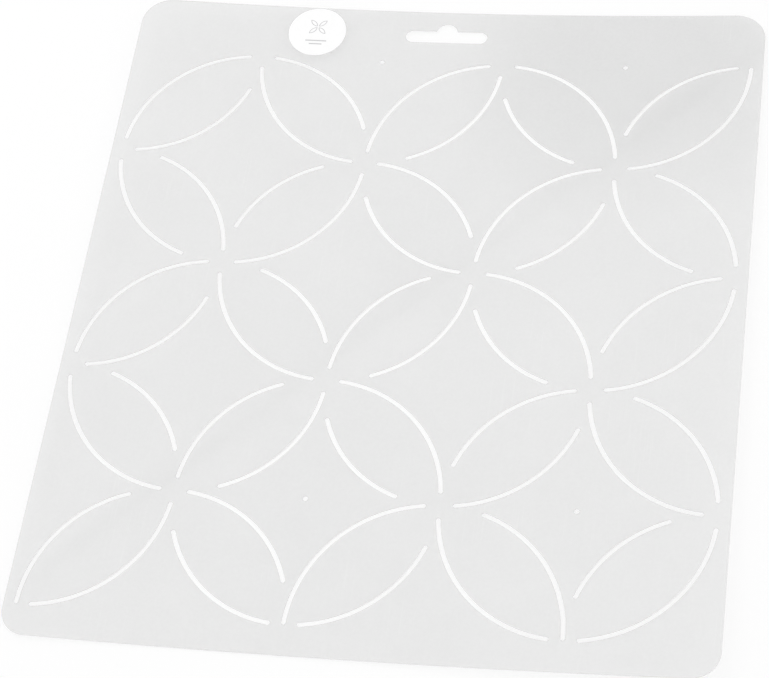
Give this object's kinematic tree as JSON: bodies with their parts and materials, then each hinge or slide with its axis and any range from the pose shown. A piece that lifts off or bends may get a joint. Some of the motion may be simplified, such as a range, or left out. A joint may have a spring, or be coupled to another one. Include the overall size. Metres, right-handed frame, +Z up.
{
  "type": "circle template",
  "caption": "Thin flexible frosted plastic template with overlapping circles cut through it as narrow slots, for marking curved quilting lines, with a hang slot and a round label.",
  "frame": {"origin": "under the middle of the sheet, on the plane that it lies on", "axes": "+X to the right and +Y towards the edge with the hang slot, seen from above; +Z up, out of the face that carries the label"},
  "size_m": [0.2636, 0.293, 0.0006],
  "materials": {
    "frosted_sheet": "frosted, translucent, fine matt grain",
    "label_paper": "coated white label paper with grey printing"
  },
  "bodies": {
    "root": {"template_sheet": "frosted_sheet", "label": "label_paper"}
  },
  "joints": []
}
